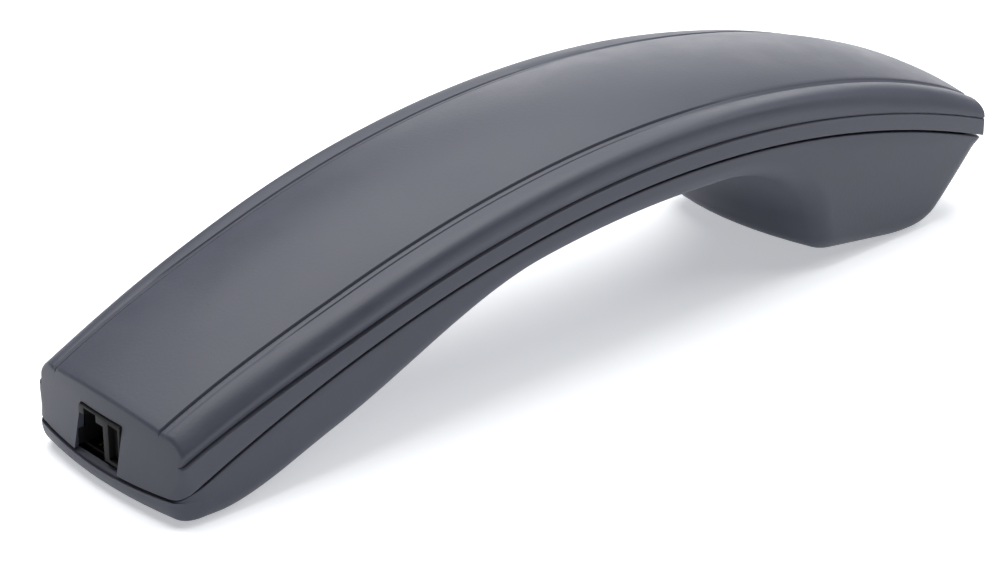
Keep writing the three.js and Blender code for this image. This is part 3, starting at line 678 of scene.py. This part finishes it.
def holes(name, rings, radius, stack):
    """Round sound holes on circles about a stack's axis, each with a countersunk mouth, as one cutter."""
    (x, _, z), turn = stack
    mouth = radius + HOLE_CHAMFER + HOLE_LEAD
    pairs = [(0, -HOLE_LEAD), (mouth, -HOLE_LEAD), (radius, HOLE_CHAMFER)]
    pairs += [(radius, HOLE_DEPTH), (0, HOLE_DEPTH)]
    work = bmesh.new()
    for ring_radius, count in rings:
        for i in range(count):
            angle = 2 * math.pi * i / count
            place = Vector((ring_radius * math.cos(angle), ring_radius * math.sin(angle), 0))
            pin = turned(name, pairs, 20)
            pin.data.transform(Matrix.Translation(place * MM))
            work.from_mesh(pin.data)
            bpy.data.objects.remove(pin)
    cutter = new_object(name, [(0, 0, 0)], [])
    work.to_mesh(cutter.data)
    work.free()
    cutter.data.transform(Matrix.Rotation(turn, 4, "Y"))
    cutter.data.transform(Matrix.Translation(Vector((x, 0, z)) * MM))
    return cutter


def block(name, low_x, high_x, outline):
    """A prism along X from a (y, z) outline."""
    count = len(outline)
    points = [(low_x, y, z) for y, z in outline] + [(high_x, y, z) for y, z in outline]
    faces = [tuple(range(count)), tuple(range(count, 2 * count))]
    faces += [(k, (k + 1) % count, count + (k + 1) % count, count + k) for k in range(count)]
    return tidy(new_object(name, points, faces))


def rounded(corners, radius, steps=5):
    """An outline with its corners rounded."""
    made = []
    for i, corner in enumerate(corners):
        here = Vector(corner)
        before = (Vector(corners[i - 1]) - here).normalized()
        after = (Vector(corners[(i + 1) % len(corners)]) - here).normalized()
        for k in range(steps + 1):
            t = k / steps
            a, b = here + before * radius, here + after * radius
            made.append(tuple((1 - t) ** 2 * a + 2 * t * (1 - t) * here + t ** 2 * b))
    return made


def jack_corners():
    """The jack's low and high corners in the frame, in millimetres."""
    return (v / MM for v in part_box("jack_housing"))


def make_back_cover():
    """The hollow back cover with its screw bosses, the jack's opening and the pocket behind it."""
    cover = back_outer()
    boolean(cover, back_cavity())
    for x in SCREW_PLACES:
        z = float(parting_z(x))
        boss = [(0, z - 0.3), (BOSS_RADIUS, z - 0.3), (BOSS_RADIUS, z + 10), (0, z + 10)]
        boolean(cover, turned("boss", boss, centre=(x, 0, 0)), "UNION")
        pilot = [(0, z - 2), (SHANK_RADIUS, z - 2), (SHANK_RADIUS, z + 6), (0, z + 6)]
        boolean(cover, turned("pilot", pilot, centre=(x, 0, 0)))
    boolean(cover, block("opening", -112, -96, rounded(JACK_OPENING, OPENING_ROUND)))
    low, high = jack_corners()
    left, right = low.y - JACK_PLAY, high.y + JACK_PLAY
    bottom, top = low.z - JACK_PLAY, high.z + JACK_PLAY
    room = [(left, bottom), (right, bottom), (right, top), (left, top)]
    boolean(cover, block("pocket", low.x - JACK_PLAY, -92, room))
    return smooth(cover)


def make_front_cover():
    """The hollow front shell with its rim, screw columns, sound holes and room for the jack."""
    shell = front_body("front_cover")
    hollow = front_body("front_hollow", skin=FRONT_WALL, top=1.0, angles=(90, 60, 30), shares=(1, 0.5, 0),
                        fine=0.5, wall_steps=2, lip=0)
    boolean(shell, hollow)
    boolean(shell, rim_tongue(), "UNION")
    for x in SCREW_PLACES:
        z = float(parting_z(x))
        foot = z - float(front_depth(x)) + 1.4
        column = [(0, foot), (COLUMN_RADIUS, foot), (COLUMN_RADIUS, z - 0.6), (0, z - 0.6)]
        boolean(shell, turned("column", column, centre=(x, 0, 0)), "UNION")
        seat = z - SEAT_DEPTH
        bore = [(0, seat - 14), (BORE_RADIUS + 0.6, seat - 14), (BORE_RADIUS, seat - 12), (BORE_RADIUS, seat)]
        bore += [(SHANK_RADIUS, seat), (SHANK_RADIUS, z + 3), (0, z + 3)]
        boolean(shell, turned("counterbore", bore, centre=(x, 0, 0)))
    ear_stack = stack_frame(EAR_HOLES_X, ear_face_z(EAR_HOLES_X), EAR_SLOPE)
    boolean(shell, holes("ear_holes", EAR_HOLE_RINGS, EAR_HOLE_RADIUS, ear_stack))
    boolean(shell, holes("mic_holes", MIC_HOLE_RINGS, MIC_HOLE_RADIUS, mic_stack()))
    low, high = jack_corners()
    left, right = low.y - 3 * JACK_PLAY, high.y + 3 * JACK_PLAY
    room = [(left, low.z - JACK_PLAY), (right, low.z - JACK_PLAY), (right, 12), (left, 12)]
    boolean(shell, block("jack_room", low.x - 1.1, -86, room))
    return smooth(shell)


def rim_tongue():
    """The raised lip of the front shell that sits inside the back cover's rim."""
    low, high, inset, thick, ease = -2.2, 1.4, 2.1, 0.9, 0.3
    outline = [(inset, low), (inset, high - ease), (inset + ease, high)]
    outline += [(inset + thick, high), (inset + thick, low)]
    stations = [lerp(JACK_END_X + 9, EAR_END_X - 4, t) for t in np.linspace(0, 1, 61)]
    path = [(x, -1.0) for x in stations]
    path += [(None, share) for share in np.linspace(-1, 1, 13)[1:-1]]
    path += [(x, 1.0) for x in reversed(stations)]
    loops = []
    for station, share in path:
        loop = []
        for offset, height in outline:
            x = float(ear_end(share)) - offset - 0.2 if station is None else station
            loop.append((x, share * (float(half_width(x)) - offset), float(parting_z(x)) + height))
        loops.append(loop)
    columns = len(outline)
    faces = ring_faces(len(loops), columns)
    faces += [tuple(range(columns)), tuple(range((len(loops) - 1) * columns, len(loops) * columns))]
    return tidy(new_object("tongue", np.concatenate([np.array(loop) for loop in loops]), faces))


# ------------------------------------------------------------------ cord jack and shell screws

def bar(name, low, high):
    """A block between two corners."""
    outline = [(low[1], low[2]), (high[1], low[2]), (high[1], high[2]), (low[1], high[2])]
    return block(name, low[0], high[0], outline)


def bevelled(piece, width, segments=2):
    """Rounds the piece's sharp edges."""
    modifier = piece.modifiers.new("edges", "BEVEL")
    modifier.width = width * MM
    modifier.segments = segments
    modifier.limit_method = "ANGLE"
    modifier.angle_limit = math.radians(40)
    return smooth(apply_modifiers(piece), 35)


def make_jack():
    """The four-way jack: its block, the nose in the opening, the socket, the latch slot and a side recess."""
    low, high = jack_corners()
    middle = (low.y + high.y) / 2
    front = low.x - 3
    jack = bar("cord_jack", (low.x + 0.1, low.y, low.z), (high.x, high.y, high.z))
    nose = rounded(JACK_NOSE, NOSE_ROUND)
    boolean(jack, block("nose", low.x - NOSE_REACH, low.x + 0.6, nose), "UNION")
    centred = [
        ("socket", SOCKET_HALF_WIDTH, front, high.x - 1.2, SOCKET_LOW, SOCKET_HIGH),
        ("latch", LATCH_HALF_WIDTH, front, low.x + LATCH_LENGTH, SOCKET_HIGH - 1, LATCH_TOP),
        ("contact_recess", CONTACT_RECESS_HALF_WIDTH, low.x + 0.6, low.x + CONTACT_RECESS_LENGTH,
         CONTACT_RECESS_LOW, SOCKET_LOW + 1),
    ]
    cuts = [(name, (start, middle - half, bottom), (end, middle + half, top))
            for name, half, start, end, bottom, top in centred]
    web = middle - SOCKET_HALF_WIDTH - SIDE_WEB
    side = ("side_recess", (front, SIDE_RECESS_Y, SIDE_RECESS_LOW), (low.x - 0.3, web, SIDE_RECESS_HIGH))
    cuts.insert(2, side)
    for i in range(4):
        y = middle + (i - 1.5) * CONTACT_PITCH
        left, right = y - GROOVE_HALF_WIDTH, y + GROOVE_HALF_WIDTH
        cuts.append(("pin_groove", (low.x + 0.5, left, low.z - 1), (high.x + 1, right, low.z + 1)))
        cuts.append(("bend_groove", (low.x + 0.6, left, low.z), (low.x + 1.9, right, 5.0)))
    for name, start, end in cuts:
        boolean(jack, bar(name, start, end))
    return bevelled(jack, 0.1)


def make_screw(number):
    """A pan-head screw with a cross recess and turned threads, head down."""
    low, high = (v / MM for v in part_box(f"shell_screw_{number}"))
    x, radius = (low.x + high.x) / 2, (high.x - low.x) / 2
    head, dome, pitch, cross_long, cross_wide = 2, 1.1, 0.45, 1.35, 0.32
    shank = radius * 0.44
    pairs = [(0, low.z)]
    for degrees in (0, 20, 40, 60, 80):
        angle = math.radians(degrees)
        pairs.append((radius * (0.55 + 0.45 * math.sin(angle)), low.z + dome * (1 - math.cos(angle))))
    pairs += [(radius, low.z + dome + 0.1), (radius, low.z + head), (shank, low.z + head)]
    for k in range(12):
        z = low.z + head + 0.6 + pitch * k
        pairs += [(shank, z), (shank * 1.18, z + pitch / 3), (shank, z + pitch * 2 / 3)]
    pairs += [(shank * 0.3, high.z), (0, high.z)]
    screw = turned(f"case_screw_{number}", pairs, sides=40, centre=(x, 0, 0))
    for wide, long in ((cross_wide, cross_long), (cross_long, cross_wide)):
        boolean(screw, bar("cross", (x - wide, -long, low.z - 1), (x + wide, long, low.z + dome)))
    return smooth(screw, 35)


# ------------------------------------------------------------------ materials

def material(name, color, roughness, metallic=0.0):
    """A plain material, its node tree and its shader."""
    made = bpy.data.materials.new(name)
    made.use_nodes = True
    shader = made.node_tree.nodes["Principled BSDF"]
    shader.inputs["Base Color"].default_value = (*color, 1)
    shader.inputs["Roughness"].default_value = roughness
    shader.inputs["Metallic"].default_value = metallic
    return made, made.node_tree, shader


def node(tree, kind, **values):
    """A node with its sockets or, where it has no such socket, its settings filled in."""
    made = tree.nodes.new(kind)
    for key, value in values.items():
        if key in made.inputs:
            made.inputs[key].default_value = value
        else:
            setattr(made, key, value)
    return made


def ramp(tree, source, low, high, low_value, high_value):
    """Maps a factor from low..high to low_value..high_value, clamped."""
    made = node(tree, "ShaderNodeMapRange")
    made.clamp = True
    limits = {"From Min": low, "From Max": high, "To Min": low_value, "To Max": high_value}
    for label, value in limits.items():
        made.inputs[label].default_value = value
    tree.links.new(source, made.inputs["Value"])
    return made.outputs["Result"]


def speckled(name, color, roughness, metallic=0.0, grain=2600.0, bump=0.25, depth=0.00003, spread=0.06,
             tint=0.08, wear=0.25, specular=0.5):
    """A moulded or plated surface: fine grain bump, mottled colour and roughness, and lighter worn edges."""
    made, tree, shader = material(name, color, roughness, metallic)
    shader.inputs["Specular IOR Level"].default_value = specular
    place = node(tree, "ShaderNodeTexCoord").outputs["Object"]
    fine = node(tree, "ShaderNodeTexNoise", Scale=grain, Detail=3.0, Roughness=0.6)
    broad = node(tree, "ShaderNodeTexNoise", Scale=60.0, Detail=5.0, Roughness=0.65)
    for noise in (fine, broad):
        tree.links.new(place, noise.inputs["Vector"])
    mottled = node(tree, "ShaderNodeHueSaturation", Color=(*color, 1))
    tree.links.new(ramp(tree, broad.outputs["Fac"], 0.3, 0.7, 1 - tint, 1 + tint), mottled.inputs["Value"])
    edge = node(tree, "ShaderNodeNewGeometry").outputs["Pointiness"]
    worn = ramp(tree, edge, 0.52, 0.62, 0.0, wear)
    mix = node(tree, "ShaderNodeMix", data_type="RGBA")
    mix.inputs["B"].default_value = (*(min(1.0, c * 2.2 + 0.02) for c in color), 1)
    tree.links.new(worn, mix.inputs["Factor"])
    tree.links.new(mottled.outputs["Color"], mix.inputs["A"])
    tree.links.new(mix.outputs["Result"], shader.inputs["Base Color"])
    uneven = ramp(tree, broad.outputs["Fac"], 0.3, 0.7, roughness - spread, roughness + spread)
    tree.links.new(uneven, shader.inputs["Roughness"])
    bumped = node(tree, "ShaderNodeBump", Strength=bump, Distance=depth)
    tree.links.new(fine.outputs["Fac"], bumped.inputs["Height"])
    tree.links.new(bumped.outputs["Normal"], shader.inputs["Normal"])
    return made


def woven(name, color):
    """A fine woven cloth: crossing threads in the bump and the colour."""
    made, tree, shader = material(name, color, 0.9)
    place = node(tree, "ShaderNodeTexCoord").outputs["Object"]
    waves = []
    for direction in ("X", "Y"):
        wave = node(tree, "ShaderNodeTexWave", Scale=900.0, Distortion=0.4, bands_direction=direction)
        tree.links.new(place, wave.inputs["Vector"])
        waves.append(wave.outputs["Fac"])
    cross = node(tree, "ShaderNodeMath", operation="MULTIPLY")
    tree.links.new(waves[0], cross.inputs[0])
    tree.links.new(waves[1], cross.inputs[1])
    tone = node(tree, "ShaderNodeHueSaturation", Color=(*color, 1))
    tree.links.new(ramp(tree, cross.outputs[0], 0, 1, 0.5, 1.6), tone.inputs["Value"])
    tree.links.new(tone.outputs["Color"], shader.inputs["Base Color"])
    bumped = node(tree, "ShaderNodeBump", Strength=0.6, Distance=0.00008)
    tree.links.new(cross.outputs[0], bumped.inputs["Height"])
    tree.links.new(bumped.outputs["Normal"], shader.inputs["Normal"])
    shader.inputs["Sheen Weight"].default_value = 0.3
    return made


FINISHES = {
    "shell_plastic": speckled("shell_plastic", (0.066, 0.070, 0.092), 0.45, grain=1500.0, bump=0.5,
                              depth=0.00006, tint=0.07, wear=0.10, specular=0.22),
    "black_plastic": speckled("black_plastic", (0.012, 0.012, 0.013), 0.45),
    "jack_plastic": speckled("jack_plastic", (0.006, 0.006, 0.007), 0.5, wear=0.05, specular=0.12),
    "plated_steel": speckled("plated_steel", (0.55, 0.54, 0.50), 0.32, 1.0, grain=900.0, bump=0.1),
    "magnet": speckled("magnet", (0.10, 0.10, 0.105), 0.5, 0.8, bump=0.4),
    "ballast_metal": speckled("ballast_metal", (0.22, 0.23, 0.24), 0.55, 0.9, grain=700.0, bump=0.5),
    "can_aluminium": speckled("can_aluminium", (0.62, 0.62, 0.63), 0.35, 1.0, grain=900.0, bump=0.1),
    "copper": speckled("copper", (0.55, 0.22, 0.09), 0.3, 1.0, grain=1800.0, bump=0.5),
    "contact_gold": speckled("contact_gold", (0.78, 0.52, 0.16), 0.22, 1.0, grain=900.0, bump=0.06),
    "diaphragm_film": speckled("diaphragm_film", (0.5, 0.47, 0.38), 0.25, bump=0.1),
    "foam_rubber": speckled("foam_rubber", (0.02, 0.02, 0.021), 0.85, grain=1500.0, bump=0.8, depth=0.0001),
    "dust_cloth": woven("dust_cloth", (0.012, 0.012, 0.013)),
    "circuit_board": speckled("circuit_board", (0.012, 0.075, 0.03), 0.35, grain=1200.0, bump=0.2),
    "lead_red": speckled("lead_red", (0.40, 0.02, 0.015), 0.4),
    "lead_green": speckled("lead_green", (0.02, 0.16, 0.05), 0.4),
    "lead_yellow": speckled("lead_yellow", (0.55, 0.38, 0.03), 0.4),
    "lead_black": speckled("lead_black", (0.01, 0.01, 0.01), 0.4),
}


def give(piece, slot):
    """Gives a piece the one material of its slot."""
    piece.data.materials.clear()
    piece.data.materials.append(FINISHES[slot])


# ------------------------------------------------------------------ the handset

def finish_piece(piece, slot, replaced):
    """Gives a piece its material and fixes it to the casing in place of a CAD node."""
    give(piece, slot)
    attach(piece, "casing")
    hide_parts(replaced)


finish_piece(make_back_cover(), "shell_plastic", "back_shell")
finish_piece(make_front_cover(), "shell_plastic", "front_shell")
finish_piece(make_jack(), "jack_plastic", "jack_housing")
for number in (1, 2):
    finish_piece(make_screw(number), "plated_steel", f"shell_screw_{number}")

# The CAD nodes that stay in sight take the same materials.
for part in frame["record"]["subparts"]:
    carried = frame["nodes"][part["node"]]
    if carried.hide_render:
        continue
    for place in range(len(carried.data.materials)):
        carried.data.materials[place] = FINISHES[part["material_slot"]]


# ------------------------------------------------------------------ camera, floor and light

def view_direction(azimuth, elevation):
    """The unit vector towards a viewer: azimuth 0 is in front, at -Y, and 90 is at +X."""
    a, e = math.radians(azimuth), math.radians(elevation)
    return Vector((math.sin(a) * math.cos(e), -math.cos(a) * math.cos(e), math.sin(e)))


def make_camera():
    """The camera, at the angle from which the handset is shown."""
    data = bpy.data.cameras.new("camera")
    data.lens = CAMERA_LENS
    data.sensor_width = SENSOR_WIDTH
    data.clip_start, data.clip_end = 0.01, 20
    camera = bpy.data.objects.new("camera", data)
    back = view_direction(CAMERA_AZIMUTH, CAMERA_ELEVATION)
    camera.location = (Vector(CAMERA_TARGET) + back * CAMERA_DISTANCE) * MM
    camera.rotation_mode = "QUATERNION"
    camera.rotation_quaternion = (-back).to_track_quat("-Z", "Y")
    bpy.context.scene.collection.objects.link(camera)
    bpy.context.scene.camera = camera


def make_floor():
    """A pale floor with a faint glow of its own, which keeps it near white."""
    made, _, shader = material("floor_white", (0.86, 0.87, 0.88), 0.7)
    shader.inputs["Emission Color"].default_value = (0.95, 0.97, 1.0, 1)
    shader.inputs["Emission Strength"].default_value = 0.45
    shader.inputs["Specular IOR Level"].default_value = 0.2
    signs = ((-1, -1), (1, -1), (1, 1), (-1, 1))
    corners = [(x * FLOOR_REACH, y * FLOOR_REACH, FLOOR_Z) for x, y in signs]
    floor = new_object("floor", corners, [(0, 1, 2, 3)])
    floor.data.materials.append(made)


def area_light(name, azimuth, elevation, distance, size, power):
    """A soft disk light that faces the frame's origin."""
    data = bpy.data.lights.new(name, "AREA")
    data.shape = "DISK"
    data.size = size
    data.energy = power
    light = bpy.data.objects.new(name, data)
    back = view_direction(azimuth, elevation)
    light.location = back * distance
    light.rotation_mode = "QUATERNION"
    light.rotation_quaternion = (-back).to_track_quat("-Z", "Y")
    bpy.context.scene.collection.objects.link(light)


def make_world():
    """A dim, even surround."""
    world = bpy.data.worlds.new("studio")
    world.use_nodes = True
    world.node_tree.nodes["Background"].inputs["Color"].default_value = (0.93, 0.95, 1.0, 1)
    world.node_tree.nodes["Background"].inputs["Strength"].default_value = 0.08
    bpy.context.scene.world = world
    bpy.context.scene.view_settings.view_transform = "Standard"


make_camera()
make_floor()
make_world()
for light in LIGHTS:
    area_light(*light)
